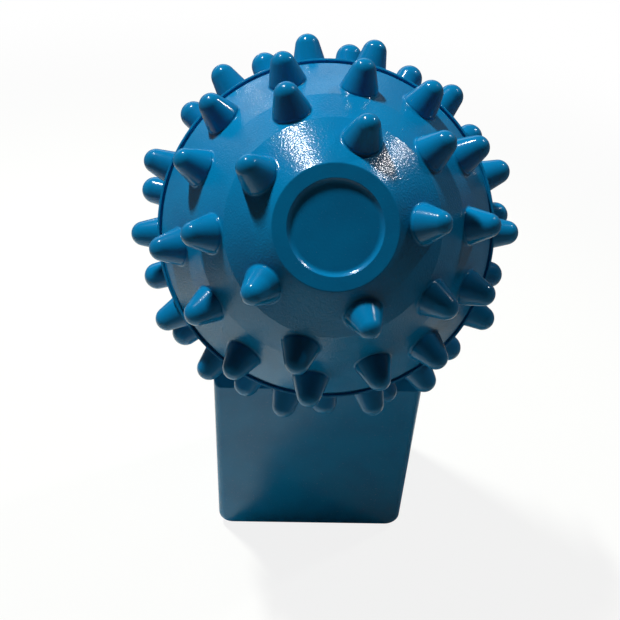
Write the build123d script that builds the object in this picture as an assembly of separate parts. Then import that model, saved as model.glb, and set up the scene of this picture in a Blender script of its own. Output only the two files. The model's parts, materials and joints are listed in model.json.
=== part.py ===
from build123d import *
import os
from dataclasses import dataclass
from math import acos, asin, atan2, cos, degrees, floor, hypot, pi, radians, sin, tan

# Roller cone cutter segment: a steel leg that carries one button-studded cone.
# Millimetres. Z is up, the leg stands on its flat foot at z = 0, and its flat front face looks along -Y.
# The origin is the middle of the foot. The journal leans up and forward out of the leg, over the front face.

# Leg block
leg_width = 114
leg_depth = 92
back_radius = 121.5
base_corner_round = 9
front_edge_round = 4
back_edge_round = 4
seat_edge_round = 1.5
shirttail_radius = 66

# Journal axis, where it leaves the slanted seat face of the leg
journal_angle = 36
journal_root_setback = 50.3
journal_root_height = 192

# Journal, from the seat face outwards
seal_boss_radius = 32
seal_boss_length = 16
root_chamfer = 2
race_radius = 27
pilot_radius = 15.9
pilot_length = 24
journal_edge_chamfer = 1

# Rolling elements
rolling_clearance = 0.2
neighbour_clearance = 0.2
roller_diameter = 11
roller_length = 24
roller_edge_chamfer = 0.6
ball_diameter = 12.7
land_before_rollers = 6
land_after_rollers = 4
land_after_balls = 2.4

# Cone bore
cone_back_gap = 2
mouth_clearance = 0.8
mouth_lip = 4
seal_section = 6.5
seal_clearance = 0.15
seal_side_gap = 0.6
boss_end_gap = 1
bore_clearance = 0.6
washer_thickness = 2.6
washer_gap = 0.2
washer_rim_gap = 1.1
washer_hole_clearance = 1
bush_wall = 3.04
bush_clearance = 0.06
pilot_end_gap = 0.5
button_radius = 12
button_thickness = 4.2
button_gap = 0.3

# Cone outside: each band has its rise along the axis and its step in radius, from the nose to the back
nose_radius = 26.7
nose_band_step = 20.8
nose_band_rise = 15.7
upper_band_step = 12.7
upper_band_rise = 15.9
wide_band_step = 19.8
wide_band_rise = 30.4
groove_wall_step = 0.2
groove_wall_rise = 1.1
heel_face_step = 2.7
heel_face_rise = 0.6
heel_land_rise = 14.5
gauge_band_step = 2.4
gauge_band_rise = 19.5
back_bevel_step = 8.1
back_bevel_rise = 5
band_edge_round = 0.8
recess_radius = 20.5
recess_depth = 1.4
recess_wall_run = 1.5
recess_floor_round = 3.5
recess_rim_round = 0.25

# Ball hole and plug, drilled from the back of the leg into the ball race
ball_hole_angle = 25
ball_hole_clearance = 0.4
plug_clearance = 0.1
plug_waist_radius = 4
plug_head_length = 16
plug_nose_length = 14

# Grease reservoir in the back of the leg, below the mouth of the ball hole
reservoir_drop = 88
reservoir_depth = 48
can_radius = 16.8
can_wall = 1.6
can_head_radius = 19
can_head_thickness = 6
can_clearance = 0.05
can_outlet_radius = 2.5
ring_seal_section = 1.8
ring_seal_slot = 2.3
ring_seal_clearance = 0.03
cap_recess = 3.5
cap_thickness = 4
cap_vent_radius = 2
cap_dish_radius = 11
cap_dish_depth = 1.2
boot_flange_thickness = 1.6
boot_wall = 1.5
boot_length = 26
boot_clearance = 0.6
snap_ring_thickness = 1.6
snap_ring_width = 3.4
snap_ring_bite = 1.2
snap_ring_clearance = 0.05
snap_ring_opening = 40
snap_ring_eye_radius = 2.6
snap_ring_eye_hole_radius = 1

# Grease ways
passage_radius = 2.5
outlet_way_length = 6
race_way_radius = 2
fill_hole_drop = 40
fill_plug_radius = 6
fill_plug_length = 11
fill_plug_recess = 2.5
fill_plug_clearance = 0.03
fill_plug_socket_across = 6
fill_plug_socket_depth = 5

# Button inserts
insert_chamfer = 0.8


@dataclass
class InsertRow:
    """One ring of buttons: its cone band, place on the band, button sizes and the angle of each button."""

    band: int
    along: float
    lean: float
    grip_diameter: float
    grip_depth: float
    collar: float
    crown_centre: float
    tip_radius: float
    angles: tuple


# Bands count from the nose: 0 nose, 1 upper, 2 wide, 3 groove wall, 4 heel face, 5 heel land, 6 gauge.
# Angles are in degrees about the cone axis, from +X towards the top of the cone.
rows = {
    "nose_inserts": InsertRow(
        band=0, along=15.1, lean=0, grip_diameter=17.46, grip_depth=12, collar=1.3,
        crown_centre=8.3, tip_radius=5.6, angles=(4, 74, 147, 220, 290.5)),
    "upper_inserts": InsertRow(
        band=1, along=9.8, lean=0, grip_diameter=17.46, grip_depth=12, collar=1.3,
        crown_centre=8.8, tip_radius=5.7, angles=(39, 111, 184, 256.5, 327)),
    "middle_inserts": InsertRow(
        band=2, along=8.4, lean=-3, grip_diameter=17.46, grip_depth=12, collar=1.2,
        crown_centre=8.8, tip_radius=5.7, angles=(3, 80, 156.5, 213.5, 289.5)),
    "lower_inserts": InsertRow(
        band=2, along=19.4, lean=0, grip_diameter=17.46, grip_depth=12, collar=1.2,
        crown_centre=8.8, tip_radius=5.8,
        angles=(30.5, 55, 107.5, 135.5, 188, 237, 264.5, 311.5, 339)),
    "heel_inserts": InsertRow(
        band=5, along=9.5, lean=-5, grip_diameter=15.88, grip_depth=10, collar=0.9,
        crown_centre=7.9, tip_radius=6.1,
        angles=(1, 20.5, 48.5, 76.5, 97.5, 125.5, 159.5, 182.5, 210.5, 231, 258, 286.5, 305, 332.5)),
    "gauge_inserts": InsertRow(
        band=6, along=11.1, lean=4, grip_diameter=14.29, grip_depth=10, collar=0.9,
        crown_centre=8.4, tip_radius=6.8,
        angles=(7, 34.5, 62.5, 83.5, 111.5, 140, 168, 196.5, 217.5, 244.5, 271.5, 292.5, 318.5, 347)),
}

# One overrun serves every cut that has to run clear of a surface
overrun = 5
reach = 3 * (leg_width + leg_depth)

# Places worked out from the sizes above
front_y = -leg_depth / 2
back_y = leg_depth / 2
journal_axis = Vector(0, -cos(radians(journal_angle)), sin(radians(journal_angle)))
journal_root = Vector(0, front_y + journal_root_setback, journal_root_height)
# In this frame Z runs out along the journal, X is the leg's own X and Y is up and back
journal_frame = Plane(origin=journal_root, x_dir=(1, 0, 0), z_dir=journal_axis)

roller_radius = roller_diameter / 2
ball_radius = ball_diameter / 2
roller_pitch = race_radius + rolling_clearance + roller_radius
outer_race_radius = roller_pitch + roller_radius + rolling_clearance
lip_radius = race_radius + bore_clearance
ball_pitch = (race_radius + lip_radius) / 2
ball_groove_radius = ball_radius + rolling_clearance

rollers_start = seal_boss_length + land_before_rollers
rollers_end = rollers_start + roller_length
ball_place = rollers_end + land_after_rollers + ball_groove_radius
shoulder_place = ball_place + ball_groove_radius + land_after_balls
thrust_face_place = shoulder_place + washer_gap + washer_thickness
pilot_end = shoulder_place + pilot_length
pilot_bore_end = pilot_end + pilot_end_gap
button_start = pilot_end + button_gap
button_end = button_start + button_thickness
bush_radius = pilot_radius + bush_clearance + bush_wall

gland_radius = seal_boss_radius + seal_section + 2 * seal_clearance
gland_start = cone_back_gap + mouth_lip
gland_end = gland_start + seal_section + 2 * seal_side_gap
mouth_radius = seal_boss_radius + mouth_clearance

counterbore_radius = can_head_radius + can_clearance
cap_place = back_y - cap_recess - snap_ring_thickness
can_place = cap_place - cap_thickness - boot_flange_thickness
ball_hole_radius = ball_radius + ball_hole_clearance
plug_radius = ball_hole_radius - plug_clearance


def band_corners():
    """Corners of the cone's outside as (radius, place along the axis), from the nose flat to the back face."""
    steps = (nose_band_step, upper_band_step, wide_band_step, -groove_wall_step, heel_face_step, 0,
             -gauge_band_step, -back_bevel_step)
    rises = (nose_band_rise, upper_band_rise, wide_band_rise, groove_wall_rise, heel_face_rise,
             heel_land_rise, gauge_band_rise, back_bevel_rise)
    radius = nose_radius
    place = cone_back_gap + sum(rises)
    corners = [(radius, place)]
    for step, rise in zip(steps, rises):
        radius += step
        place -= rise
        corners.append((radius, place))
    return corners


def turned(face):
    """Revolve a face drawn as radius against place about the Z axis."""
    return revolve(Plane.XZ * face, Axis.Z)


def outline(points):
    """Closed face through a list of corners."""
    return make_face(Polyline(*points, close=True))


def rounded(face, corners, radius):
    """Round the corners of a flat face that lie at the given points."""
    picked = [face.vertices().sort_by_distance(corner)[0] for corner in corners]
    return fillet(picked, radius)


def ring(inner, outer, start, end):
    """Plain ring between two places along Z."""
    return turned(outline([(inner, start), (outer, start), (outer, end), (inner, end)]))


def rod(radius, start, end):
    """Plain cylinder between two places along Z."""
    return Pos(0, 0, start) * Cylinder(radius, end - start, align=(Align.CENTER, Align.CENTER, Align.MIN))


def around(shape, angles):
    """Copies of a shape turned about Z."""
    return [Rot(0, 0, angle) * shape for angle in angles]


def even_angles(count):
    """Angles of evenly spaced copies."""
    return [360 * number / count for number in range(count)]


def full_complement(pitch, radius):
    """How many rolling elements of this radius fill a race of this pitch radius."""
    return floor(pi / asin((radius + neighbour_clearance / 2) / pitch))


def leg_blank():
    """The leg's block, with its slanted seat face and shirttail, before the journal and any drilling."""
    half = leg_width / 2
    block_height = journal_root_height + shirttail_radius
    arc_centre = back_y - back_radius
    side_back = arc_centre + (back_radius ** 2 - half ** 2) ** 0.5
    walls = Polyline((-half, side_back), (-half, front_y), (half, front_y), (half, side_back))
    plan = make_face(walls + ThreePointArc((half, side_back), (0, back_y), (-half, side_back)))
    block = extrude(plan, amount=block_height)
    foot_face = block.faces().sort_by(Axis.Z)[0]
    block = fillet(foot_face.edges().filter_by(Axis.Y), base_corner_round)
    front_face = block.faces().sort_by(Axis.Y)[0]
    block = fillet(front_face.edges().sort_by(Axis.Z)[:-1], front_edge_round)
    back_face = block.faces().filter_by(GeomType.CYLINDER).sort_by(SortBy.AREA)[-1]
    block = fillet(back_face.edges().sort_by(Axis.Z)[:-1], back_edge_round)

    above_seat = Box(reach, reach, reach, align=(Align.CENTER, Align.CENTER, Align.MIN))
    block -= journal_frame * above_seat
    lower_half = Rectangle(leg_width + 2 * overrun, reach, align=(Align.CENTER, Align.MAX))
    shirttail = extrude(Circle(shirttail_radius) + lower_half, amount=reach, both=True)
    block &= journal_frame * shirttail
    seat_face = block.faces().sort_by(Axis(journal_root, journal_axis))[-1]
    return fillet(seat_face.edges(), seat_edge_round)


def journal():
    """The journal as turned: seal boss, roller race, ball groove, shoulder and pilot pin."""
    chamfer = journal_edge_chamfer
    profile = outline([
        (0, -overrun),
        (seal_boss_radius + root_chamfer, -overrun),
        (seal_boss_radius + root_chamfer, 0),
        (seal_boss_radius, root_chamfer),
        (seal_boss_radius, seal_boss_length - chamfer),
        (seal_boss_radius - chamfer, seal_boss_length),
        (race_radius, seal_boss_length),
        (race_radius, shoulder_place - chamfer),
        (race_radius - chamfer, shoulder_place),
        (pilot_radius, shoulder_place),
        (pilot_radius, pilot_end - chamfer),
        (pilot_radius - chamfer, pilot_end),
        (0, pilot_end),
    ])
    return turned(profile) - Pos(0, 0, ball_place) * Torus(ball_pitch, ball_groove_radius)


# The ball hole's frame: its Z starts at the middle of the ball row, under the journal, and runs out of the back
ball_hole_way = Vector(0, sin(radians(ball_hole_angle)), -cos(radians(ball_hole_angle)))
ball_hole_start = Vector(0, -ball_pitch, ball_place)
ball_hole_frame = journal_frame * Plane(origin=ball_hole_start, x_dir=(1, 0, 0), z_dir=ball_hole_way).location
ball_hole_length = (back_y - ball_hole_frame.position.Y) / (Plane(ball_hole_frame).z_dir.Y)


def ball_hole_height_at(y):
    """Height of the ball hole's axis where it passes a place along Y."""
    way = Plane(ball_hole_frame).z_dir
    start = ball_hole_frame.position
    return start.Z + way.Z * (y - start.Y) / way.Y


# The reservoir's frame: its Z runs out of the back of the leg, and place 0 is the leg's middle plane
ball_hole_mouth_height = ball_hole_height_at(back_y)
reservoir_height = ball_hole_mouth_height - reservoir_drop
fill_hole_height = ball_hole_mouth_height - fill_hole_drop
reservoir_frame = Plane(origin=(0, 0, reservoir_height), x_dir=(1, 0, 0), z_dir=(0, 1, 0))
fill_frame = Plane(origin=(0, 0, fill_hole_height), x_dir=(1, 0, 0), z_dir=(0, 1, 0))


def leg(blank):
    """The forging: block and journal in one, with its drilled holes."""
    body = blank - ball_hole_frame * rod(ball_hole_radius, -ball_hole_radius, ball_hole_length + overrun)

    pocket_end = back_y - reservoir_depth
    body -= reservoir_frame * rod(can_radius + can_clearance, pocket_end, back_y + overrun)
    body -= reservoir_frame * rod(counterbore_radius, can_place - can_head_thickness, back_y + overrun)
    body -= reservoir_frame * rod(counterbore_radius + snap_ring_bite, cap_place, cap_place + snap_ring_thickness)

    passage_y = pocket_end - outlet_way_length
    passage_top = ball_hole_height_at(passage_y)
    body -= reservoir_frame * rod(can_outlet_radius, passage_y, back_y)
    body -= Pos(0, passage_y, 0) * rod(passage_radius, reservoir_height, passage_top)
    body -= fill_frame * rod(passage_radius, passage_y, back_y)
    body -= fill_frame * rod(fill_plug_radius, back_y - fill_plug_recess - fill_plug_length, back_y + overrun)

    race_way = Plane(origin=(0, 0, (rollers_start + rollers_end) / 2), x_dir=(1, 0, 0), z_dir=(0, -1, 0))
    body -= journal_frame * (race_way.location * rod(race_way_radius, pilot_radius, race_radius + overrun))
    return body


def ball_plug(blank):
    """Plug that fills the ball hole, its nose cut to the race and its waist turned down for the grease."""
    full = ball_hole_frame * rod(plug_radius, -ball_hole_radius, ball_hole_length + overrun)
    waist_end = ball_hole_length - plug_head_length
    waist = ring(plug_waist_radius, ball_hole_radius + overrun, plug_nose_length, waist_end)
    return (full & blank) - ball_hole_frame * waist


def grease_plug():
    """Screw plug of the filling hole, with a hexagon socket."""
    start = back_y - fill_plug_recess - fill_plug_length
    end = back_y - fill_plug_recess
    body = rod(fill_plug_radius - fill_plug_clearance, start, end)
    socket = extrude(RegularPolygon(fill_plug_socket_across / 2, 6, major_radius=False),
                     amount=fill_plug_socket_depth)
    body = chamfer(body.edges().group_by(Axis.Z)[-1], insert_chamfer)
    return fill_frame * (body - Pos(0, 0, end - fill_plug_socket_depth) * socket)


def reservoir_can():
    """Steel cup of the reservoir, with a slotted head for its ring seal and an outlet in its floor."""
    floor_place = back_y - reservoir_depth
    head_start = can_place - can_head_thickness
    slot_floor = counterbore_radius - ring_seal_section
    slot_middle = (head_start + can_place) / 2
    inner = can_radius - can_wall
    profile = outline([
        (can_outlet_radius, floor_place),
        (can_radius, floor_place),
        (can_radius, head_start),
        (can_head_radius, head_start),
        (can_head_radius, slot_middle - ring_seal_slot / 2),
        (slot_floor, slot_middle - ring_seal_slot / 2),
        (slot_floor, slot_middle + ring_seal_slot / 2),
        (can_head_radius, slot_middle + ring_seal_slot / 2),
        (can_head_radius, can_place),
        (inner, can_place),
        (inner, floor_place + can_wall),
        (can_outlet_radius, floor_place + can_wall),
    ])
    return reservoir_frame * turned(profile)


def reservoir_seal():
    """Ring seal in the slot of the can's head."""
    section = ring_seal_section / 2 - ring_seal_clearance
    middle = counterbore_radius - ring_seal_section / 2
    place = can_place - can_head_thickness / 2
    return reservoir_frame * (Pos(0, 0, place) * Torus(middle, section))


def reservoir_diaphragm():
    """Rubber boot: its flange lies between can and cap, and its closed end hangs in the can."""
    outer = can_radius - can_wall - boot_clearance
    inner = outer - boot_wall
    top = can_place + boot_flange_thickness
    tip = can_place - boot_length
    profile = outline([
        (0, tip),
        (outer, tip),
        (outer, can_place),
        (can_head_radius, can_place),
        (can_head_radius, top),
        (inner, top),
        (inner, tip + boot_wall),
        (0, tip + boot_wall),
    ])
    profile = rounded(profile, [(outer, tip)], boot_wall * 2)
    profile = rounded(profile, [(inner, tip + boot_wall)], boot_wall)
    return reservoir_frame * turned(profile)


def reservoir_cap():
    """Round cap with a dished face and a vent, held by the snap ring."""
    bottom = cap_place - cap_thickness
    profile = outline([
        (cap_vent_radius, bottom),
        (can_head_radius, bottom),
        (can_head_radius, cap_place),
        (cap_dish_radius + cap_dish_depth, cap_place),
        (cap_dish_radius, cap_place - cap_dish_depth),
        (cap_vent_radius, cap_place - cap_dish_depth),
    ])
    return reservoir_frame * turned(profile)


def reservoir_snap_ring():
    """Open ring in its groove over the cap, with an eye at each end."""
    outer = counterbore_radius + snap_ring_bite - snap_ring_clearance
    inner = counterbore_radius - snap_ring_width
    end = cap_place + snap_ring_thickness - snap_ring_clearance
    half_gap = reach * tan(radians(snap_ring_opening / 2))
    gap = extrude(outline([(0, 0), (half_gap, reach), (-half_gap, reach)]), amount=snap_ring_thickness)
    open_ring = ring(inner, outer, cap_place, end) - Pos(0, 0, cap_place) * gap
    eye_pitch = inner + snap_ring_eye_radius / 2
    eye_angle = 90 + snap_ring_opening / 2 + degrees(asin(snap_ring_eye_radius / eye_pitch))
    for angle in (eye_angle, 180 - eye_angle):
        place = Rot(0, 0, angle) * Pos(eye_pitch, 0, 0)
        open_ring += place * rod(snap_ring_eye_radius, cap_place, end)
        open_ring -= place * rod(snap_ring_eye_hole_radius, cap_place - overrun, end + overrun)
    return reservoir_frame * open_ring


def band_place(row):
    """Foot of a row's buttons as (radius, place), and their tilt from the nose direction in degrees."""
    corners = band_corners()
    near, far = corners[row.band], corners[row.band + 1]
    step, rise = far[0] - near[0], near[1] - far[1]
    length = hypot(step, rise)
    radius = near[0] + step * row.along / length
    place = near[1] - rise * row.along / length
    return radius, place, degrees(atan2(rise, step)) + row.lean


def insert(row):
    """One button, standing on its foot point: grip in the hole, collar, cone and round tip."""
    grip = row.grip_diameter / 2
    top = row.crown_centre + row.tip_radius
    run = hypot(grip, row.crown_centre - row.collar)
    slope = acos(row.tip_radius / run) - atan2(row.crown_centre - row.collar, grip)
    tangent = (row.tip_radius * cos(slope), row.crown_centre + row.tip_radius * sin(slope))
    side = Polyline(
        (0, top),
        (0, -row.grip_depth),
        (grip - insert_chamfer, -row.grip_depth),
        (grip, insert_chamfer - row.grip_depth),
        (grip, row.collar),
        tangent,
    )
    crown = CenterArc((0, row.crown_centre), row.tip_radius, degrees(slope), 90 - degrees(slope))
    return turned(make_face(side + crown))


def row_of(row, button):
    """Set a button, or the hole for one, at each angle of its row."""
    radius, place, tilt = band_place(row)
    return around(Pos(radius, 0, place) * Rot(0, tilt, 0) * button, row.angles)


def cone_shell():
    """The cone: turned outside, stepped bore for the bearing and a hole for each button."""
    corners = band_corners()
    nose_place = corners[0][1]
    groove_start = rollers_start - rolling_clearance
    groove_end = rollers_end + rolling_clearance
    back_place = corners[-1][1]
    profile = outline([
        (0, nose_place - recess_depth),
        (recess_radius - recess_wall_run, nose_place - recess_depth),
        (recess_radius, nose_place),
        *corners,
        (mouth_radius, back_place),
        (mouth_radius, gland_start),
        (gland_radius, gland_start),
        (gland_radius, gland_end),
        (mouth_radius, gland_end),
        (mouth_radius, seal_boss_length + boss_end_gap),
        (lip_radius, seal_boss_length + boss_end_gap),
        (lip_radius, groove_start),
        (outer_race_radius, groove_start),
        (outer_race_radius, groove_end),
        (lip_radius, groove_end),
        (lip_radius, thrust_face_place),
        (bush_radius, thrust_face_place),
        (bush_radius, pilot_bore_end),
        (button_radius, pilot_bore_end),
        (button_radius, button_end),
        (0, button_end),
    ])
    profile = rounded(profile, corners[:-1], band_edge_round)
    profile = rounded(profile, [(recess_radius - recess_wall_run, nose_place - recess_depth)], recess_floor_round)
    profile = rounded(profile, [(recess_radius, nose_place)], recess_rim_round)
    body = turned(profile)
    body -= Pos(0, 0, ball_place) * Torus(ball_pitch, ball_groove_radius)
    for row in rows.values():
        hole = rod(row.grip_diameter / 2, -row.grip_depth, row.tip_radius + row.crown_centre)
        body -= row_of(row, hole)
    return journal_frame * body


def main_rollers():
    """Full complement of rollers between the journal and the cone."""
    roller = rod(roller_radius, rollers_start, rollers_end)
    roller = chamfer(roller.edges().filter_by(GeomType.CIRCLE), roller_edge_chamfer)
    count = full_complement(roller_pitch, roller_radius)
    return [journal_frame * one for one in around(Pos(roller_pitch, 0, 0) * roller, even_angles(count))]


def retaining_balls():
    """Full complement of balls in the race that locks the cone on."""
    ball = Pos(ball_pitch, 0, ball_place) * Sphere(ball_radius)
    count = full_complement(ball_pitch, ball_radius)
    return [journal_frame * one for one in around(ball, even_angles(count))]


def write(name, shape):
    """Write one node, a solid or a group of separate solids."""
    pieces = shape if isinstance(shape, list) else [shape]
    solids = [solid for piece in pieces for solid in piece.solids()]
    export_step(solids[0] if len(solids) == 1 else Compound(children=solids), f"parts/{name}.step")


forging = leg_blank() + journal_frame * journal()
nodes = {
    "leg": leg(forging),
    "ball_plug": ball_plug(forging),
    "grease_plug": grease_plug(),
    "reservoir_can": reservoir_can(),
    "reservoir_seal": reservoir_seal(),
    "reservoir_diaphragm": reservoir_diaphragm(),
    "reservoir_cap": reservoir_cap(),
    "reservoir_snap_ring": reservoir_snap_ring(),
    "cone_shell": cone_shell(),
    "pilot_bush": journal_frame * ring(pilot_radius + bush_clearance, bush_radius, thrust_face_place,
                                       pilot_bore_end),
    "thrust_washer": journal_frame * ring(pilot_radius + washer_hole_clearance, lip_radius - washer_rim_gap,
                                          shoulder_place + washer_gap, thrust_face_place),
    "thrust_button": journal_frame * rod(button_radius, button_start, button_end),
    "seal_ring": journal_frame * (Pos(0, 0, (gland_start + gland_end) / 2)
                                  * Torus((seal_boss_radius + gland_radius) / 2, seal_section / 2)),
    "main_rollers": main_rollers(),
    "retaining_balls": retaining_balls(),
}
for name, row in rows.items():
    nodes[name] = [journal_frame * button for button in row_of(row, insert(row))]

os.makedirs("parts", exist_ok=True)
for name, shape in nodes.items():
    write(name, shape)
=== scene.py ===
"""Looks of a roller cone drill segment: a steel leg that carries one cone set with carbide buttons.

The segment is sprayed in one glossy mid blue, buttons included, and stands on the flat foot of its
leg. The lengths of pieces and finishes are millimetres, as in the part's source, and become metres
when a mesh or a material is made. The studio's, the lamps' and the camera's lengths are metres.
"""

import json
import logging
import math
from dataclasses import dataclass, field
from enum import Enum
from typing import Any, Sequence

import bpy
import numpy as np
from mathutils import Matrix, Vector

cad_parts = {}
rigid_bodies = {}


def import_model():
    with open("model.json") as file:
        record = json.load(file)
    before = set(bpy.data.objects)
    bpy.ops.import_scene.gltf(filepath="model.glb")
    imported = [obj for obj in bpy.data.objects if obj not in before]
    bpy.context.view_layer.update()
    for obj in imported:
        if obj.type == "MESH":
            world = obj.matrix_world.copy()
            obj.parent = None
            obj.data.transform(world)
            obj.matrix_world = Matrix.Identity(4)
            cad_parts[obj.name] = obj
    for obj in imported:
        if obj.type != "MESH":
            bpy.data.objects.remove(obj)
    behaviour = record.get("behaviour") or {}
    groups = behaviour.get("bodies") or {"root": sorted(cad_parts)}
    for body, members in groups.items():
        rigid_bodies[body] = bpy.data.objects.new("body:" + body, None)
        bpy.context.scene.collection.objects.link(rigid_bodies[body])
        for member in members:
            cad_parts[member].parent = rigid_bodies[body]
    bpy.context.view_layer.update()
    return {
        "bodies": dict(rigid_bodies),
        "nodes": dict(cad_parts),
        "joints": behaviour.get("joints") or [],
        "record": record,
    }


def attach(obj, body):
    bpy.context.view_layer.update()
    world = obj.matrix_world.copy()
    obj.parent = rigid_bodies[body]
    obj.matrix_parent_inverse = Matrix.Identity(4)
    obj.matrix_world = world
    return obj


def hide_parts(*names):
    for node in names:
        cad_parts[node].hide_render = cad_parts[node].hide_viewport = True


LOG = logging.getLogger("segment")
METRES = 0.001  # in one millimetre
WAVE_PERIOD = 0.314  # metres between two marks of a wave texture whose scale is 1
WHITE = (1.0, 1.0, 1.0, 1.0)

Pair = tuple[float, float]
Triple = tuple[float, float, float]
Settings = dict[str, Any]
Inputs = dict[str | int, Any]
Socket = bpy.types.NodeSocket


class Ray(Enum):
    """What a light ray is doing when it meets the floor or the surround."""

    CAMERA = "Is Camera Ray"
    GLOSSY = "Is Glossy Ray"
    THROUGH = "Is Transmission Ray"


class Wave(Enum):
    """Which way the tool marks of a turned or ground face run."""

    RINGS = "RINGS"
    LINES = "BANDS"


# ----------------------------------------
# Shader graphs
# ----------------------------------------


class Signal:
    """A shader value that takes part in Python arithmetic."""

    def __init__(self, graph: "Graph", socket: Socket) -> None:
        """Wrap a socket.

        Args:
            graph: Graph that the socket belongs to.
            socket: Output socket that carries the value.
        """
        self.graph = graph
        self.socket = socket

    def maths(self, operation: str, *values: "Signal | float") -> "Signal":
        """Join values with one Math node.

        Args:
            operation: Name of the Math node's operation.
            values: The operands, in the node's order.

        Returns:
            The node's value.
        """
        node = self.graph.node("ShaderNodeMath", {"operation": operation}, dict(enumerate(values)))
        return Signal(self.graph, node.outputs[0])

    def __add__(self, other: "Signal | float") -> "Signal":
        """Sum of two values."""
        return self.maths("ADD", self, other)

    def __radd__(self, other: float) -> "Signal":
        """Sum with a plain number on the left."""
        return self.maths("ADD", other, self)

    def __mul__(self, other: "Signal | float") -> "Signal":
        """Product of two values."""
        return self.maths("MULTIPLY", self, other)

    def __rmul__(self, other: float) -> "Signal":
        """Product with a plain number on the left."""
        return self.maths("MULTIPLY", other, self)

    def either(self, other: "Signal | float") -> "Signal":
        """The larger of two values."""
        return self.maths("MAXIMUM", self, other)

    def between(self, low: float, high: float, start: float = 0.0, end: float = 1.0) -> "Signal":
        """Ease smoothly from one value to another.

        Args:
            low: Where the change begins.
            high: Where it ends.
            start: Value below low.
            end: Value above high.

        Returns:
            The eased value.
        """
        node = self.graph.node(
            "ShaderNodeMapRange",
            {"interpolation_type": "SMOOTHSTEP"},
            {"Value": self, "From Min": low, "From Max": high, "To Min": start, "To Max": end},
        )
        return Signal(self.graph, node.outputs["Result"])


class Graph:
    """The node tree of one material or of the world."""

    def __init__(self, tree: bpy.types.NodeTree) -> None:
        """Empty a node tree and take it over."""
        self.tree = tree
        tree.nodes.clear()

    def node(
        self, kind: str, settings: Settings | None = None, inputs: Inputs | None = None
    ) -> bpy.types.Node:
        """Add one node.

        Args:
            kind: Blender's name of the node type.
            settings: Its settings, set first.
            inputs: Values, signals or sockets for its input sockets, by name or number.

        Returns:
            The new node.
        """
        node = self.tree.nodes.new(kind)
        for name, value in (settings or {}).items():
            setattr(node, name, value)
        for name, value in (inputs or {}).items():
            socket = node.inputs[name]
            if isinstance(value, Signal):
                self.tree.links.new(value.socket, socket)
            elif isinstance(value, Socket):
                self.tree.links.new(value, socket)
            else:
                socket.default_value = value
        return node

    def value(self, kind: str, settings: Settings, inputs: Inputs, output: str) -> Signal:
        """Add a node and take one of its outputs as a value.

        Args:
            kind: Blender's name of the node type.
            settings: Its settings.
            inputs: What goes into its sockets.
            output: Name of the output to take.

        Returns:
            The output as a signal.
        """
        return Signal(self, self.node(kind, settings, inputs).outputs[output])

    def place(self) -> Socket:
        """The point on the object, in metres, in the part's own frame."""
        return self.node("ShaderNodeTexCoord").outputs["Object"]

    def noise(self, size: float, detail: float = 2.0, roughness: float = 0.5) -> Signal:
        """Smooth random field over the object.

        Args:
            size: Size of a blotch in millimetres.
            detail: Number of finer layers.
            roughness: Strength of the finer layers.

        Returns:
            A value near 0.5 that wanders from 0 to 1.
        """
        scale = 1 / (size * METRES)
        return self.value(
            "ShaderNodeTexNoise",
            {"noise_dimensions": "3D"},
            {"Vector": self.place(), "Scale": scale, "Detail": detail, "Roughness": roughness},
            "Fac",
        )

    def mixed(self, factor: Signal, low: Triple | Socket, high: Triple) -> Socket:
        """Blend two colours.

        Args:
            factor: Share of the second colour.
            low: First colour, or a socket that carries it.
            high: Second colour.

        Returns:
            The socket with the blend.
        """
        first = low if isinstance(low, Socket) else (*low, 1.0)
        inputs: Inputs = {0: factor, 6: first, 7: (*high, 1.0)}
        return self.node("ShaderNodeMix", {"data_type": "RGBA"}, inputs).outputs[2]

    def bumped(self, height: Signal, depth: float, under: Socket | None = None) -> Socket:
        """Raise the surface by a height field.

        Args:
            height: Field from 0 to 1.
            depth: Height in millimetres that 1 stands for.
            under: Normal to add to, if there is one.

        Returns:
            The socket with the new normal.
        """
        inputs: Inputs = {"Strength": 1.0, "Distance": depth * METRES, "Height": height}
        if under is not None:
            inputs["Normal"] = under
        return self.node("ShaderNodeBump", {}, inputs).outputs[0]


class MaterialGraph(Graph):
    """The node tree of one material, with its main shader in place."""

    def __init__(self, name: str, constants: Inputs) -> None:
        """Start a material.

        Args:
            name: Name of the material.
            constants: Values that are the same all over, for the main shader's own sockets.
        """
        self.material = bpy.data.materials.new(name)
        self.material.use_nodes = True
        super().__init__(self.material.node_tree)
        self.shader = self.node("ShaderNodeBsdfPrincipled", {}, constants)
        self.output = self.node("ShaderNodeOutputMaterial", {}, {"Surface": self.shader.outputs[0]})

    def feed(self, **inputs: Any) -> None:
        """Link varying values to the main shader.

        Args:
            inputs: The values by socket name, with an underscore for each space.
        """
        for name, value in inputs.items():
            socket = self.shader.inputs[name.replace("_", " ")]
            self.tree.links.new(value.socket if isinstance(value, Signal) else value, socket)


# ----------------------------------------
# Finishes
# ----------------------------------------


@dataclass(frozen=True)
class Patches:
    """Random patches over a surface.

    Args:
        size: Size of a patch in millimetres.
        span: Levels of the noise between which a patch goes from nothing to full.
        detail: Number of finer layers.
        roughness: Strength of the finer layers.
    """

    size: float
    span: Pair
    detail: float = 1.0
    roughness: float = 0.5

    def spread(self, graph: Graph) -> Signal:
        """Share of the patches over the surface, from 0 to 1."""
        return graph.noise(self.size, self.detail, self.roughness).between(*self.span)


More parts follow.
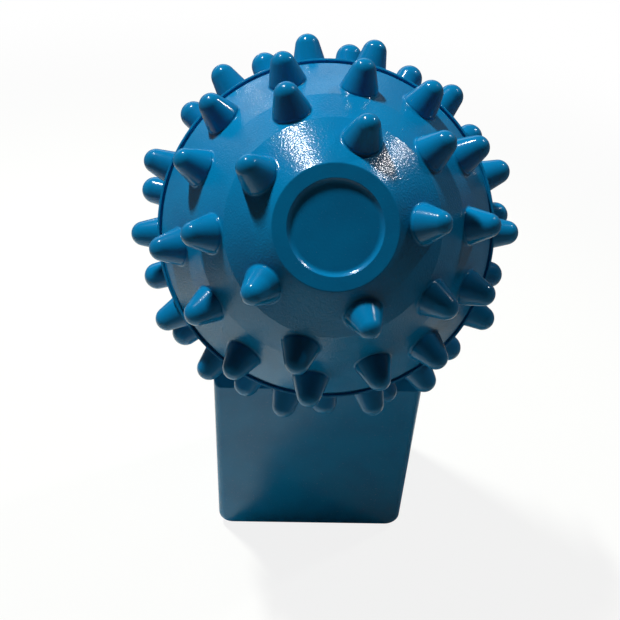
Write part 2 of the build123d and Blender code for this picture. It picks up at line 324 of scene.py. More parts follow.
@dataclass(frozen=True)
class SprayPaint:
    """Glossy sprayed enamel with orange peel, thin and thick patches and a little dust.

    Args:
        name: Name of the material.
        colour: Colour of the paint, linear.
        thin: Colour where the coat is thin.
        dusty: Colour of the dust in it.
        gloss: Roughness of the clean paint.
        thin_patches: Where the coat is thin.
        thin_dulling: Roughness added where the coat is thin.
        dust: Where the dust lies.
        dust_share: Share of the dust's colour that shows.
        dust_dulling: Roughness added by the dust.
        peel_size: Width of an orange-peel cell in millimetres.
        peel_depth: Depth of the orange peel in millimetres.
        peel_detail: Number of finer layers in the orange peel.
        wave_size: Width of the slow waves under it.
        wave_depth: Depth of the slow waves.
        softness: Strength of the finer layers of the peel and the waves.
        index: Refractive index of the paint.
    """

    name: str
    colour: Triple = (0.001, 0.194, 0.420)
    thin: Triple = (0.002, 0.168, 0.372)
    dusty: Triple = (0.10, 0.26, 0.42)
    gloss: float = 0.17
    thin_patches: Patches = Patches(22, (0.35, 0.7), detail=3)
    thin_dulling: float = 0.05
    dust: Patches = Patches(0.8, (0.66, 0.8))
    dust_share: float = 0.10
    dust_dulling: float = 0.12
    peel_size: float = 0.9
    peel_depth: float = 0.15
    peel_detail: float = 1.5
    wave_size: float = 6.5
    wave_depth: float = 0.03
    softness: float = 0.4
    index: float = 1.42

    def peel(self, graph: Graph) -> Signal:
        """Height of the orange peel over the surface, from 0 to 1."""
        return graph.noise(self.peel_size, self.peel_detail, self.softness)

    def build(self) -> bpy.types.Material:
        """Make the material.

        Returns:
            The material.
        """
        graph = MaterialGraph(self.name, {"IOR": self.index, "Metallic": 0.0})
        cloud = self.thin_patches.spread(graph)
        speck = self.dust.spread(graph)
        colour = graph.mixed(cloud, self.colour, self.thin)
        slow = graph.bumped(graph.noise(self.wave_size, 1.0, self.softness), self.wave_depth)
        graph.feed(
            Base_Color=graph.mixed(speck * self.dust_share, colour, self.dusty),
            Roughness=self.gloss + self.thin_dulling * cloud + self.dust_dulling * speck,
            Normal=graph.bumped(self.peel(graph), self.peel_depth, slow),
        )
        return graph.material


@dataclass(frozen=True)
class ConePaint(SprayPaint):
    """The cone's enamel, which has flowed out smoother on the nose flat.

    Args:
        origin: Point on the cone's axis in metres.
        axis: Direction of the axis.
        calm_radii: Radii in millimetres between which the full orange peel begins.
        calm_share: Share of the orange peel that is left inside them.
    """

    origin: Triple = (0.0, 0.0, 0.0)
    axis: Triple = (0.0, 0.0, 1.0)
    calm_radii: Pair = (26.46, 28.62)
    calm_share: float = 0.25

    def peel(self, graph: Graph) -> Signal:
        """Height of the orange peel, lower near the axis.

        Args:
            graph: Graph of the material.

        Returns:
            The height, from 0 to 1.
        """
        kind = "ShaderNodeVectorMath"
        offset = graph.node(kind, {"operation": "SUBTRACT"}, {0: graph.place(), 1: self.origin})
        arms = {0: offset.outputs[0], 1: self.axis}
        aside = graph.node(kind, {"operation": "CROSS_PRODUCT"}, arms)
        distance = graph.value(kind, {"operation": "LENGTH"}, {0: aside.outputs[0]}, "Value")
        near, far = (radius * METRES for radius in self.calm_radii)
        return super().peel(graph) * distance.between(near, far, self.calm_share, 1.0)


@dataclass(frozen=True)
class TurnedMetal:
    """Bare machined metal with fine tool marks and a thin film of grease.

    Args:
        name: Name of the material.
        colour: Colour of the metal, linear.
        stained: Colour of the greasy patches.
        mark: Width of one tool mark in millimetres.
        gloss: Roughness between the marks.
        run: Which way the marks run.
        film: Where the grease lies.
        film_share: Share of its colour that shows.
        film_dulling: Roughness that it adds.
        wander: How far the marks wander.
        scratch_size: Size of the scratches in millimetres.
        scratch_share: Depth of the scratches as a share of the marks.
        scratch_dulling: Roughness that the scratches add.
        relief: Depth of the marks in millimetres.
    """

    name: str
    colour: Triple = (0.56, 0.56, 0.57)
    stained: Triple = (0.34, 0.31, 0.27)
    mark: float = 0.35
    gloss: float = 0.24
    run: Wave = Wave.LINES
    film: Patches = Patches(9, (0.45, 0.7), detail=4, roughness=0.6)
    film_share: float = 0.7
    film_dulling: float = 0.22
    wander: float = 1.2
    scratch_size: float = 0.5
    scratch_share: float = 0.4
    scratch_dulling: float = 0.08
    relief: float = 0.004

    def build(self) -> bpy.types.Material:
        """Make the material.

        Returns:
            The material.
        """
        graph = MaterialGraph(self.name, {"Metallic": 1.0})
        scale = WAVE_PERIOD / (self.mark * METRES)
        marks = graph.value(
            "ShaderNodeTexWave",
            {"wave_type": self.run.value, "wave_profile": "SAW"},
            {"Vector": graph.place(), "Scale": scale, "Distortion": self.wander},
            "Fac",
        )
        film = self.film.spread(graph)
        scratch = graph.noise(self.scratch_size)
        graph.feed(
            Base_Color=graph.mixed(film * self.film_share, self.colour, self.stained),
            Roughness=self.gloss + self.scratch_dulling * scratch + self.film_dulling * film,
            Normal=graph.bumped(marks + self.scratch_share * scratch, self.relief),
        )
        return graph.material


@dataclass(frozen=True)
class SealRubber:
    """Matt black moulded rubber with a bloom of fine dust.

    Args:
        name: Name of the material.
        colour: Colour of the clean rubber, linear.
        bloomed: Colour of the bloom.
        bloom: Where the bloom lies.
        bloom_share: Share of its colour that shows.
        bloom_dulling: Roughness that it adds.
        matt: Roughness of the clean rubber.
        grain_size: Size of the moulded grain in millimetres.
        grain_depth: Depth of the grain in millimetres.
        index: Refractive index of the rubber.
    """

    name: str
    colour: Triple = (0.018, 0.018, 0.019)
    bloomed: Triple = (0.075, 0.075, 0.072)
    bloom: Patches = Patches(5, (0.45, 0.75), detail=4, roughness=0.6)
    bloom_share: float = 0.6
    bloom_dulling: float = 0.2
    matt: float = 0.55
    grain_size: float = 0.25
    grain_depth: float = 0.012
    index: float = 1.5

    def build(self) -> bpy.types.Material:
        """Make the material.

        Returns:
            The material.
        """
        graph = MaterialGraph(self.name, {"IOR": self.index})
        bloom = self.bloom.spread(graph)
        grain = graph.noise(self.grain_size, 1.0)
        graph.feed(
            Base_Color=graph.mixed(bloom * self.bloom_share, self.colour, self.bloomed),
            Roughness=self.matt + self.bloom_dulling * bloom,
            Normal=graph.bumped(grain, self.grain_depth),
        )
        return graph.material


# ----------------------------------------
# Shapes
# ----------------------------------------


@dataclass
class JournalFrame:
    """The journal's own frame, with 0 on the seat face, Z out along the journal and Y up and back.

    Args:
        origin: Where the journal's axis leaves the seat face, in metres.
        axis: Direction of the journal.
    """

    origin: Vector
    axis: Vector

    def matrix(self) -> Matrix:
        """Place the journal's frame in the part's.

        Returns:
            Matrix from the journal's frame in millimetres to the part's frame in metres.
        """
        across = Vector((1, 0, 0))
        up = self.axis.cross(across).normalized()
        turn = Matrix((across, up, self.axis)).transposed().to_4x4()
        return Matrix.Translation(self.origin) @ turn @ Matrix.Scale(METRES, 4)


@dataclass
class Outline:
    """A turned outline of (radius, place) corners, with some of its corners rounded.

    Args:
        corners: The corners in order.
        rounds: Radius of each rounded corner, by its number.
        steps: Sides of an arc.
        guard: Distance from an arc to the guard point that keeps its neighbour flat.
        room: Share of a side that one arc may take.
    """

    corners: list[Pair]
    rounds: dict[int, float]
    steps: int = 6
    guard: float = 0.15
    room: float = 0.49

    def points(self) -> list[Pair]:
        """Corners with their roundings drawn out, and a guard point at each end of a rounding.

        Returns:
            The points, in the order of the corners.
        """
        drawn: list[Pair] = []
        count = len(self.corners)
        for index, corner in enumerate(self.corners):
            radius = self.rounds.get(index, 0.0)
            if radius == 0.0 or index in (0, count - 1):
                drawn.append(corner)
            else:
                before, after = self.corners[index - 1], self.corners[index + 1]
                drawn.extend(self.rounded(before, corner, after, radius))
        return drawn

    def rounded(self, before: Pair, corner: Pair, after: Pair, radius: float) -> list[Pair]:
        """One corner as an arc between its two sides.

        Args:
            before: Corner before it.
            corner: The corner itself.
            after: Corner after it.
            radius: Radius of the arc.

        Returns:
            The arc's points with a guard point before and after.
        """
        here, back, ahead = np.array(corner), np.array(before), np.array(after)
        inward, outward = (back - here), (ahead - here)
        most = min(np.linalg.norm(inward), np.linalg.norm(outward)) * self.room
        inward, outward = inward / np.linalg.norm(inward), outward / np.linalg.norm(outward)
        half = math.acos(float(np.clip(inward @ outward, -1, 1))) / 2
        length = min(radius / math.tan(half), most)
        middle = (inward + outward) / np.linalg.norm(inward + outward)
        centre = here + middle * length / math.cos(half)
        start, end = here + inward * length, here + outward * length
        guard = min(self.guard, length)
        arc = [start + inward * guard]
        for step in range(self.steps + 1):
            share = step / self.steps
            spoke = (start - centre) * (1 - share) + (end - centre) * share
            arc.append(centre + spoke / np.linalg.norm(spoke) * np.linalg.norm(start - centre))
        arc.append(end + outward * guard)
        return [(float(point[0]), float(point[1])) for point in arc]


@dataclass
class MeshMaker:
    """Gathers points and faces, and turns them into one piece.

    Args:
        points: Blocks of points gathered so far.
        faces: Faces as point numbers.
        count: Number of points gathered.
    """

    points: list[np.ndarray] = field(default_factory=list)
    faces: list[tuple[int, ...]] = field(default_factory=list)
    count: int = 0

    def add_rings(self, rings: np.ndarray, capped_start: bool, capped_end: bool) -> None:
        """Add a closed tube of rings.

        Args:
            rings: Points as (ring, step, 3), each ring in the same turning direction.
            capped_start: Whether the first ring is closed by a fan to its middle.
            capped_end: Whether the last ring is.
        """
        ring_count, steps, _ = rings.shape
        base = self.count
        self.points.append(rings.reshape(-1, 3))
        self.count += ring_count * steps
        for ring in range(ring_count - 1):
            for step in range(steps):
                ahead = (step + 1) % steps
                low, high = base + ring * steps, base + (ring + 1) * steps
                self.faces.append((low + step, low + ahead, high + ahead, high + step))
        if capped_start:
            self.cap(rings[0].mean(0), base, steps, flipped=True)
        if capped_end:
            self.cap(rings[-1].mean(0), base + (ring_count - 1) * steps, steps, flipped=False)

    def cap(self, middle: np.ndarray, base: int, steps: int, flipped: bool) -> None:
        """Close a ring with a fan of triangles.

        Args:
            middle: Point in the middle of the fan.
            base: Number of the ring's first point.
            steps: Points in the ring.
            flipped: Whether the fan looks the other way.
        """
        self.points.append(middle.reshape(1, 3))
        hub = self.count
        self.count += 1
        for step in range(steps):
            ahead = (step + 1) % steps
            pair = (base + ahead, base + step) if flipped else (base + step, base + ahead)
            self.faces.append((*pair, hub))

    def add_sheet(self, corners: np.ndarray) -> None:
        """Add one flat face.

        Args:
            corners: Its corners in order, as (corner, 3).
        """
        self.points.append(corners)
        self.faces.append(tuple(range(self.count, self.count + len(corners))))
        self.count += len(corners)

    def piece(self, name: str, frame: Matrix, sharp: float = 40.0) -> bpy.types.Object:
        """Make the mesh object.

        Args:
            name: Name of the piece.
            frame: Matrix from the points' frame to the part's frame in metres.
            sharp: Angle in degrees above which an edge is drawn sharp.

        Returns:
            The object, linked to the scene.
        """
        mesh = bpy.data.meshes.new(name)
        mesh.from_pydata(np.concatenate(self.points).tolist(), [], self.faces)
        mesh.transform(frame)
        mesh.validate()
        mesh.shade_smooth()
        mesh.set_sharp_from_angle(angle=math.radians(sharp))
        piece = bpy.data.objects.new(name, mesh)
        bpy.context.scene.collection.objects.link(piece)
        return piece


def circles(radii: np.ndarray, steps: int) -> tuple[np.ndarray, np.ndarray]:
    """Points evenly spaced on circles about Z.

    Args:
        radii: Radius of each circle.
        steps: Points on each.

    Returns:
        The points' two coordinates across Z, each as (circle, step).
    """
    angles = np.arange(steps) * (2 * math.pi / steps)
    return radii[:, None] * np.cos(angles), radii[:, None] * np.sin(angles)


def turned_rings(outline: Sequence[Pair], steps: int) -> np.ndarray:
    """Turn an outline about Z.

    Args:
        outline: Points as (radius, place).
        steps: Points in each ring.

    Returns:
        Points as (ring, step, 3).
    """
    radii, places = np.array(outline).T
    across, around = circles(radii, steps)
    return np.stack([across, around, np.broadcast_to(places[:, None], across.shape)], -1)


# ----------------------------------------
# Cone
# ----------------------------------------


@dataclass
class ConeShell:
    """The cone's steel: turned outside with a nose recess, and the stepped bore of its bearing.

    Args:
        nose_radius: Radius of the nose flat.
        band_steps: Growth of the radius along each band, from the nose to the back face.
        band_rises: Height of each band.
        back_gap: Gap between the back face and the seat face.
        recess_radius: Radius of the nose recess at its rim.
        recess_depth: Its depth.
        recess_wall_run: How far its wall leans in.
        recess_floor_round: Round at the foot of the wall.
        recess_rim_round: Round at the rim.
        hub_radius: Radius of the fan that closes the recess floor.
        edge_round: Round between the bands.
        groove: Corners of the groove between the wide band and the heel land.
        groove_band: Number of the outside corner that the groove takes the place of.
        groove_round: Round of the groove's corners.
        rolled_round: Round of the wide band's outer edge.
        bore: Corners of the bore, from the mouth to its end.
        steps: Points in each ring.
    """

    nose_radius: float = 26.7
    band_steps: tuple[float, ...] = (20.8, 12.7, 19.8, -0.2, 2.7, 0.0, -2.4, -8.1)
    band_rises: tuple[float, ...] = (15.7, 15.9, 30.4, 1.1, 0.6, 14.5, 19.5, 5.0)
    back_gap: float = 2.0
    recess_radius: float = 20.5
    recess_depth: float = 1.4
    recess_wall_run: float = 1.5
    recess_floor_round: float = 3.5
    recess_rim_round: float = 0.3
    hub_radius: float = 2.0
    edge_round: float = 1.1
    groove: tuple[Pair, ...] = ((79.9, 40.2), (81.0, 40.1), (81.4, 41.3))
    groove_band: int = 4
    groove_round: float = 0.3
    rolled_round: float = 2.4
    bore: tuple[Pair, ...] = (
        (32.8, 2.0), (32.8, 6.0), (38.8, 6.0), (38.8, 13.7), (32.8, 13.7), (32.8, 17.0),
        (27.6, 17.0), (27.6, 21.8), (38.4, 21.8), (38.4, 46.2), (27.6, 46.2), (27.6, 50.2),
        (32.6, 52.0), (33.9, 56.75), (32.6, 61.5), (27.6, 63.4), (27.6, 68.3),
        (19.0, 68.3), (19.0, 90.0), (12.0, 90.0), (12.0, 94.0),
    )
    steps: int = 288

    def corners(self) -> list[Pair]:
        """Corners of the outside.

        Returns:
            Corners as (radius, place), from the nose flat to the back face.
        """
        radius, place = self.nose_radius, self.back_gap + sum(self.band_rises)
        found = [(radius, place)]
        for step, rise in zip(self.band_steps, self.band_rises):
            radius, place = radius + step, place - rise
            found.append((radius, place))
        return found

    def radius_at(self, places: np.ndarray) -> np.ndarray:
        """Outer radius at places along the axis, and nothing beyond the nose flat.

        Args:
            places: Places along the axis.

        Returns:
            Radii of the same shape.
        """
        corners = self.corners()[::-1]
        ends = [place for _, place in corners]
        radii = [radius for radius, _ in corners]
        return np.where(places > ends[-1], -1.0, np.interp(places, ends, radii))

    def build(self, frame: Matrix, paint: bpy.types.Material) -> bpy.types.Object:
        """Make the shell.

        Args:
            frame: Matrix of the journal's frame.
            paint: Its finish.

        Returns:
            The piece.
        """
        outside = self.corners()
        nose = outside[0][1]
        floor = nose - self.recess_depth
        wall_foot = self.recess_radius - self.recess_wall_run
        recess = [(self.hub_radius, floor), (wall_foot, floor), (self.recess_radius, nose)]
        carved = [*outside[:self.groove_band], *self.groove, *outside[self.groove_band + 1:]]
        rounds = {1: self.recess_floor_round, 2: self.recess_rim_round}
        fine = range(self.groove_band - 1, self.groove_band + len(self.groove) + 1)
        for number in range(len(carved) - 1):
            rounds[len(recess) + number] = self.groove_round if number in fine else self.edge_round
        rounds[len(recess) + self.groove_band - 1] = self.rolled_round
        outline = Outline([*recess, *carved, *self.bore], rounds)
        maker = MeshMaker()
        maker.add_rings(turned_rings(outline.points(), self.steps)[:, ::-1], True, True)
        piece = maker.piece("cone_shell_turned", frame)
        piece.data.materials.append(paint)
        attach(piece, "cone")
        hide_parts("cone_shell")
        LOG.info("cone shell: %d points", len(piece.data.vertices))
        return piece


@dataclass
class ButtonRow:
    """One ring of buttons, with its band on the cone and the angle of each button.

    Args:
        node: CAD node that the row replaces.
        band: Number of the cone's band that it stands on.
        along: Distance along the band, from its end nearer the nose.
        lean: Tilt in degrees towards the back face, added to the square stand.
        grip_radius: Radius of the part in the cone.
        collar: Height at which the side begins to slope.
        crown_centre: Height of the tip's centre.
        tip_radius: Radius of the tip.
        angles: Angle of each button about the cone's axis, in degrees.
        foot_round: Round of the paint at the foot.
        foot_steps: Rings in that round.
        shoulder_round: Round where the side begins to slope.
        shoulder_steps: Rings in that round.
        tip_steps: Rings over the tip.
        tip_hole: Radius of the ring at the very tip.
        side_reach: How far the side runs below the foot before it is cut.
        skirt: How far the paint's edge reaches out, and how deep it sinks in.
        lap: How far the paint's foot stays under the side.
        search: Lowest and highest height at which the cone's surface is looked for.
        halvings: Times that the search halves its span.
        sharp: Angle in degrees above which an edge is drawn sharp.
        steps: Points in each ring.
    """

    node: str
    band: int
    along: float
    lean: float
    grip_radius: float
    collar: float
    crown_centre: float
    tip_radius: float
    angles: tuple[float, ...]
    foot_round: float = 0.9
    foot_steps: int = 7
    shoulder_round: float = 2.2
    shoulder_steps: int = 8
    tip_steps: int = 14
    tip_hole: float = 0.02
    side_reach: float = 2.0
    skirt: Pair = (0.25, 0.06)
    lap: float = 0.02
    search: Pair = (-9.0, 5.0)
    halvings: int = 30
    sharp: float = 60.0
    steps: int = 72

    def foot(self, shell: ConeShell) -> Triple:
        """Foot of the row as (radius, place), and its tilt from the nose direction in radians.

        Args:
            shell: The cone that the buttons stand on.

        Returns:
            Radius, place and tilt.
        """
        near, far = shell.corners()[self.band], shell.corners()[self.band + 1]
        step, rise = far[0] - near[0], near[1] - far[1]
        share = self.along / math.hypot(step, rise)
        tilt = math.atan2(rise, step) + math.radians(self.lean)
        return near[0] + step * share, near[1] - rise * share, tilt

    def side(self) -> list[Pair]:
        """Outline of the button above its paint foot.

        Returns:
            Points as (radius, height), from the tip down.
        """
        height = self.crown_centre - self.collar
        reach = math.hypot(self.grip_radius, height)
        slope = math.acos(self.tip_radius / reach) - math.atan2(height, self.grip_radius)
        quarter = math.pi / 2
        tip = [(self.tip_hole, self.crown_centre + self.tip_radius)]
        for step in range(1, self.tip_steps + 1):
            angle = quarter - (quarter - slope) * step / self.tip_steps
            above = self.crown_centre + self.tip_radius * math.sin(angle)
            tip.append((self.tip_radius * math.cos(angle), above))
        corners = [tip[-1], (self.grip_radius, self.collar), (self.grip_radius, -self.side_reach)]
        shoulder = Outline(corners, {1: self.shoulder_round}, self.shoulder_steps)
        return [*tip, *shoulder.points()[1:-1]]

    def surface_drop(self, shell: ConeShell, radii: np.ndarray) -> np.ndarray:
        """Height of the cone's surface beside the button, on circles about the button's axis.

        Args:
            shell: The cone that the button stands on.
            radii: Radii of the circles.

        Returns:
            Heights as (circle, step).
        """
        foot_radius, foot_place, tilt = self.foot(shell)
        across, around = circles(radii, self.steps)
        low, high = (np.full(across.shape, level) for level in self.search)
        for _ in range(self.halvings):
            height = (low + high) / 2
            outward = foot_radius + across * math.cos(tilt) + height * math.sin(tilt)
            place = foot_place - across * math.sin(tilt) + height * math.cos(tilt)
            inside = np.hypot(outward, around) < shell.radius_at(place)
            low, high = np.where(inside, height, low), np.where(inside, high, height)
        return low

    def rings(self, shell: ConeShell) -> np.ndarray:
        """One button in its own frame, from the tip to the edge of its paint foot.

        Args:
            shell: The cone that the button stands on.

        Returns:
            Points as (ring, step, 3).
        """
        body = turned_rings(self.side(), self.steps)
        turns = np.linspace(0, math.pi / 2, self.foot_steps)
        out, sunk = self.skirt
        radii = self.grip_radius + self.foot_round * (1 - np.cos(turns))
        radii = np.append(radii, radii[-1] + out)
        rise = np.append(self.foot_round * (1 - np.sin(turns)), -sunk)
        drop = self.surface_drop(shell, radii) + rise[:, None]
        skirt = np.stack([*circles(radii, self.steps), drop], -1)
        lowest = body[-1, :, 2].min()
        skirt[..., 2] = np.minimum(skirt[..., 2], lowest - self.lap)
        return np.concatenate([body, skirt])

    def build(self, shell: ConeShell, frame: Matrix, paint: bpy.types.Material) -> bpy.types.Object:
        """Make the row.

        Args:
            shell: The cone that the buttons stand on.
            frame: Matrix of the journal's frame.
            paint: Its finish.

        Returns:
            The piece.
        """
        radius, place, tilt = self.foot(shell)
        button = self.rings(shell)
        maker = MeshMaker()
        for angle in self.angles:
            turn = Matrix.Rotation(math.radians(angle), 4, "Z")
            stand = turn @ Matrix.Translation((radius, 0, place)) @ Matrix.Rotation(tilt, 4, "Y")
            spin = np.array(stand.to_3x3())
            maker.add_rings(button[::-1] @ spin.T + np.array(stand.translation), False, True)
        piece = maker.piece(f"{self.node}_painted", frame, self.sharp)
        piece.data.materials.append(paint)
        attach(piece, "cone")
        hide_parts(self.node)
        LOG.info("%s: %d buttons", self.node, len(self.angles))
        return piece


@dataclass
class Cone:
    """The whole cone: shell and six rows of buttons.

    Args:
        button_paint: Finish of the buttons.
        shell: The cone's steel.
        rows: The rows of buttons, from the nose to the back.
    """

    button_paint: SprayPaint = SprayPaint(
        "button_spray_paint", gloss=0.14, peel_depth=0.03, wave_depth=0.04
    )
    shell: ConeShell = field(default_factory=ConeShell)
    rows: tuple[ButtonRow, ...] = (
        ButtonRow("nose_inserts", 0, 15.1, 0, 8.73, 1.3, 8.3, 5.6, (4, 74, 147, 220, 290.5)),
        ButtonRow("upper_inserts", 1, 9.8, 0, 8.73, 1.3, 8.8, 5.7, (39, 111, 184, 256.5, 327)),
        ButtonRow("middle_inserts", 2, 8.4, -3, 8.73, 1.2, 8.8, 5.7, (3, 80, 156.5, 213.5, 289.5)),
        ButtonRow("lower_inserts", 2, 19.4, 0, 8.73, 1.2, 8.8, 5.8,
                  (30.5, 55, 107.5, 135.5, 188, 237, 264.5, 311.5, 339)),
        ButtonRow("heel_inserts", 5, 9.5, -5, 7.94, 0.9, 7.9, 6.1,
                  (1, 20.5, 48.5, 76.5, 97.5, 125.5, 159.5,
                   182.5, 210.5, 231, 258, 286.5, 305, 332.5)),
        ButtonRow("gauge_inserts", 6, 11.1, 4, 7.145, 0.9, 8.4, 6.8,
                  (7, 34.5, 62.5, 83.5, 111.5, 140, 168,
                   196.5, 217.5, 244.5, 271.5, 292.5, 318.5, 347)),
    )

    def build(self, journal: JournalFrame) -> None:
        """Make the shell and the rows.

        Args:
            journal: The journal that the cone turns on.
        """
        frame = journal.matrix()
        origin, axis = tuple(journal.origin), tuple(journal.axis)
        paint = ConePaint("cone_spray_paint", origin=origin, axis=axis)
        self.shell.build(frame, paint.build())
        button_paint = self.button_paint.build()
        for row in self.rows:
            row.build(self.shell, frame, button_paint)


# ----------------------------------------
# Leg and carried-over nodes
# ----------------------------------------


@dataclass
class CarriedNodes:
    """The CAD nodes that keep their own shape, each with its finish.

    Args:
        leg_paint: Finish of the leg.
        fitting_paint: Finish of the small parts painted in place.
        bright_steel: Finish of the reservoir can.
        bearing_steel: Finish of the rollers, the balls and the thrust button.
        plug_steel: Finish of the ground-off ball plug.
        bronze: Finish of the bush and the washer.
        rubber: Finish of the seals and the diaphragm.
    """

    leg_paint: SprayPaint = SprayPaint(
        "leg_spray_paint", gloss=0.2, peel_depth=0.014, wave_depth=0.06
    )
    fitting_paint: SprayPaint = SprayPaint("fitting_spray_paint", gloss=0.18, peel_depth=0.01)
    bright_steel: TurnedMetal = TurnedMetal("turned_steel")
    bearing_steel: TurnedMetal = TurnedMetal(
        "ground_bearing_steel", (0.62, 0.62, 0.63), mark=0.12, gloss=0.12
    )
    plug_steel: TurnedMetal = TurnedMetal(
        "plug_steel", (0.45, 0.45, 0.46), mark=0.4, run=Wave.RINGS
    )
    bronze: TurnedMetal = TurnedMetal(
        "bearing_bronze", (0.62, 0.40, 0.18), (0.28, 0.17, 0.08), mark=0.3, gloss=0.28
    )
    rubber: SealRubber = SealRubber("seal_rubber")

    def wear(self) -> dict[str, SprayPaint | TurnedMetal | SealRubber]:
        """Finish of each node by name."""
        return {
            "leg": self.leg_paint,
            "ball_plug": self.plug_steel,
            "grease_plug": self.fitting_paint,
            "reservoir_cap": self.fitting_paint,
            "reservoir_snap_ring": self.fitting_paint,
            "reservoir_can": self.bright_steel,
            "reservoir_seal": self.rubber,
            "reservoir_diaphragm": self.rubber,
            "seal_ring": self.rubber,
            "pilot_bush": self.bronze,
            "thrust_washer": self.bronze,
            "thrust_button": self.bearing_steel,
            "main_rollers": self.bearing_steel,
            "retaining_balls": self.bearing_steel,
        }

    def dress(self, nodes: dict[str, bpy.types.Object]) -> None:
        """Give each node its material.

        Args:
            nodes: The frame's nodes by name.
        """
        made: dict[str, bpy.types.Material] = {}
        for name, finish in self.wear().items():
            if finish.name not in made:
                made[finish.name] = finish.build()
            materials = nodes[name].data.materials
            for index in range(len(materials)):
                materials[index] = made[finish.name]
            if not materials:
                materials.append(made[finish.name])
            LOG.info("%s wears %s", name, finish.name)


# ----------------------------------------
# Studio and camera
# ----------------------------------------


@dataclass
class Lamp:
    """A soft oval lamp, long in the direction of the cone's axis.

    Args:
        name: Name of the lamp.
        towards: Direction from the object to the lamp.
        level: Share of a surface's written colour that it lights when faced squarely.
        shine: Share of the level that also shows in gloss.
        distance: Distance from the object in metres.
        width: Width in metres.
        length: Length in metres.
    """

    name: str
    towards: Triple
    level: float
    shine: float
    distance: float = 1.8
    width: float = 0.1
    length: float = 0.1

    def build(self, aim: Vector, axis: Vector) -> None:
        """Hang the lamp, as a bare part that shows in gloss and a shaded part that doesn't.

        Args:
            aim: Point that it lights.
            axis: Direction of the cone's axis.
        """
        direction = Vector(self.towards).normalized()
        across = axis.cross(direction).normalized()
        sides = Matrix((across, direction.cross(across), direction)).transposed()
        for part, share in (("bare", self.shine), ("shaded", 1.0 - self.shine)):
            if share == 0.0:
                continue
            data = bpy.data.lights.new(f"{self.name}_{part}", "AREA")
            data.shape = "ELLIPSE"
            data.size = self.width
            data.size_y = self.length
            data.energy = self.level * share * 4 * math.pi * self.distance ** 2
            lamp = bpy.data.objects.new(data.name, data)
            lamp.location = aim + direction * self.distance
            lamp.rotation_euler = sides.to_euler()
            lamp.visible_glossy = part == "bare"
            bpy.context.scene.collection.objects.link(lamp)


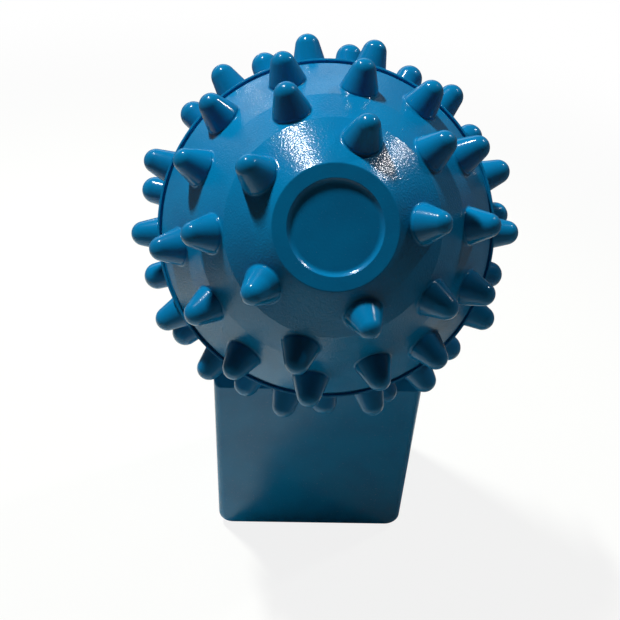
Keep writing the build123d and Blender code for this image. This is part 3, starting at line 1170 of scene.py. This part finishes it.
@dataclass
class Studio:
    """Pale floor with a painted pool of light in its colour, pale surround and three soft lamps,
    above and behind the cone.

    Args:
        floor_reach: Half of the floor's side.
        floor_drop: Gap between the floor and the foot of the leg.
        floor_colour: Colour of the floor near the part, the pale middle of a painted pool of light.
        far_colour: Colour that the part is lit by further out, where the floor's painted pool of
            light has faded to dark.
        floor_white: Share of plain white in what the camera sees of the floor near the part.
        paper: Grain of the floor.
        grain_share: Strength of the grain.
        pool_centre: Middle of the painted pool of light on the floor.
        pool: Distances between which the painted pool of light fades, for the light that it gives.
        mirrored_pool: The same in what gloss shows, where the floor's shading gives way to a fixed
            dim glow, a painted reflection.
        mirrored_far: Brightness of that painted glow, the far floor as gloss shows it.
        ambient: Brightness of the surround as a light.
        ceiling: Least brightness of the surround in gloss.
        surround: Brightness low down in the surround in gloss.
        dark_above: Heights between which that fades.
        card: A white card in the surround, as the spans over which it begins upwards, begins
            towards the back and ends towards the right.
        lamps: The lamps.
    """

    floor_reach: float = 4.0
    floor_drop: float = 0.0005
    floor_colour: Triple = (0.86, 0.89, 0.80)
    far_colour: Triple = (0.12, 0.13, 0.13)
    floor_white: float = 0.86
    paper: Patches = Patches(40, (0.3, 0.7), detail=3)
    grain_share: float = 0.03
    pool_centre: Triple = (-0.11, -0.01, 0.0)
    pool: Pair = (0.28, 0.85)
    mirrored_pool: Pair = (0.14, 0.50)
    mirrored_far: float = 0.12
    ambient: float = 0.022
    ceiling: float = 0.03
    surround: float = 0.10
    dark_above: Pair = (0.34, 0.50)
    card: tuple[Pair, Pair, Pair] = ((0.08, 0.30), (0.5, 0.8), (0.05, 0.40))
    lamps: tuple[Lamp, ...] = (
        Lamp("lamp_left", (-0.343, 0.288, 0.894), 1.03, 0.40, width=0.10, length=0.28),
        Lamp("lamp_right", (0.642, 0.322, 0.695), 0.16, 1.0, width=0.065, length=0.17),
        Lamp("lamp_back", (-0.335, 0.920, 0.185), 0.008, 1.0),
    )

    def rays(self, graph: Graph) -> tuple[Signal, Signal]:
        """Masks of what looks at a surface.

        Args:
            graph: Graph that asks.

        Returns:
            One for the camera, and one for a reflection or clear glass.
        """
        path = graph.node("ShaderNodeLightPath")
        camera, glossy, through = (Signal(graph, path.outputs[ray.value]) for ray in Ray)
        return camera, glossy.either(through)

    def build_floor(self) -> None:
        """Lay the floor, which shows white and keeps a soft shadow; its colour holds a painted pool
        of light.
        """
        maker = MeshMaker()
        corners = np.array([(-1, -1, 0), (1, -1, 0), (1, 1, 0), (-1, 1, 0)])
        maker.add_sheet(corners * self.floor_reach)
        floor = maker.piece("studio_floor", Matrix.Translation((0, 0, -self.floor_drop)))
        graph = MaterialGraph("floor_paper", {"Roughness": 0.9, "Specular IOR Level": 0.0})
        ends = {0: graph.place(), 1: self.pool_centre}
        away = graph.value("ShaderNodeVectorMath", {"operation": "DISTANCE"}, ends, "Value")
        grain = self.paper.spread(graph) * self.grain_share
        # painted pool of light: the floor's colour is pale near the part and fades to dark further
        # out, setting the light it gives back
        edge = away.between(*self.pool)
        graph.feed(Base_Color=graph.mixed(edge.either(grain), self.floor_colour, self.far_colour))
        camera, mirrored = self.rays(graph)
        shown = camera.either(self.mirrored_far)
        glow = graph.node("ShaderNodeEmission", {}, {"Color": WHITE, "Strength": shown})
        white = self.floor_white + (1.0 - self.floor_white) * edge
        # painted reflection: further out, gloss sees a fixed dim glow in place of the floor's own
        # shading
        share = (camera * white).either(mirrored * away.between(*self.mirrored_pool))
        shaders = {1: graph.shader.outputs[0], 2: glow.outputs[0]}
        mix = graph.node("ShaderNodeMixShader", {}, {0: share, **shaders})
        graph.tree.links.new(mix.outputs[0], graph.output.inputs["Surface"])
        floor.data.materials.append(graph.material)

    def build_world(self) -> None:
        """Make the surround: white to the camera, dim as a light, and with a pale card in gloss."""
        world = bpy.data.worlds.new("studio_surround")
        bpy.context.scene.world = world
        world.use_nodes = True
        graph = Graph(world.node_tree)
        way = graph.node("ShaderNodeTexCoord").outputs["Generated"]
        parts = graph.node("ShaderNodeSeparateXYZ", {}, {0: way}).outputs
        across, depth, height = (Signal(graph, parts[name]) for name in "XYZ")
        camera, mirrored = self.rays(graph)
        low = height.between(*self.dark_above, 1.0, 0.0)
        high_span, deep_span, side_span = self.card
        card = low * height.between(*high_span) * depth.between(*deep_span)
        card = card * across.between(*side_span, 1.0, 0.0)
        shown = (card + low * self.surround).either(self.ceiling)
        level = camera.either(mirrored * shown).either(self.ambient)
        backdrop = graph.node("ShaderNodeBackground", {}, {"Color": WHITE, "Strength": level})
        graph.node("ShaderNodeOutputWorld", {}, {"Surface": backdrop.outputs[0]})

    def build(self, aim: Vector, axis: Vector) -> None:
        """Build floor, surround and lamps.

        Args:
            aim: Point that the lamps light.
            axis: Direction of the cone's axis.
        """
        self.build_floor()
        self.build_world()
        for lamp in self.lamps:
            lamp.build(aim, axis)
        bpy.context.scene.view_settings.view_transform = "Standard"
        LOG.info("studio with %d lamps", len(self.lamps))


@dataclass
class Camera:
    """The photograph's viewpoint: in front of the leg, looking down along the cone's axis.

    Args:
        location: Where it stands.
        yaw: Turn to the right of straight back, in degrees.
        pitch: Angle below the level, in degrees.
        roll: Turn about its own axis, in degrees.
        lens: Focal length in millimetres.
        sensor: Width of its sensor in millimetres.
        near: Distance at which it begins to see.
    """

    location: Triple = (-0.0232, -0.3704, 0.4540)
    yaw: float = 2.85
    pitch: float = 40.21
    roll: float = 3.27
    lens: float = 49.35
    sensor: float = 36.0
    near: float = 0.01

    def build(self) -> None:
        """Place the camera and make it the scene's own."""
        yaw, pitch, roll = (math.radians(angle) for angle in (self.yaw, self.pitch, self.roll))
        flat = math.cos(pitch)
        ahead = Vector((math.sin(yaw) * flat, math.cos(yaw) * flat, -math.sin(pitch)))
        right = Vector((math.cos(yaw), -math.sin(yaw), 0))
        up = right.cross(ahead)
        level_right = math.cos(roll) * right + math.sin(roll) * up
        level_up = math.cos(roll) * up - math.sin(roll) * right
        turn = Matrix((level_right, level_up, -ahead)).transposed().to_4x4()
        data = bpy.data.cameras.new("photo_camera")
        data.lens, data.sensor_width = self.lens, self.sensor
        data.clip_start = self.near
        camera = bpy.data.objects.new("photo_camera", data)
        bpy.context.scene.collection.objects.link(camera)
        camera.matrix_world = Matrix.Translation(self.location) @ turn
        bpy.context.scene.camera = camera


def main() -> None:
    """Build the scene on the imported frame."""
    logging.basicConfig(level=logging.INFO, format="%(name)s: %(message)s")
    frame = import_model()
    joint = next(joint for joint in frame["joints"] if joint["name"] == "cone_spin")
    journal = JournalFrame(Vector(joint["pos_m"]), Vector(joint["axis"]).normalized())
    Camera().build()
    Studio().build(journal.origin, journal.axis)
    CarriedNodes().dress(frame["nodes"])
    Cone().build(journal)


if __name__ == "__main__":
    main()
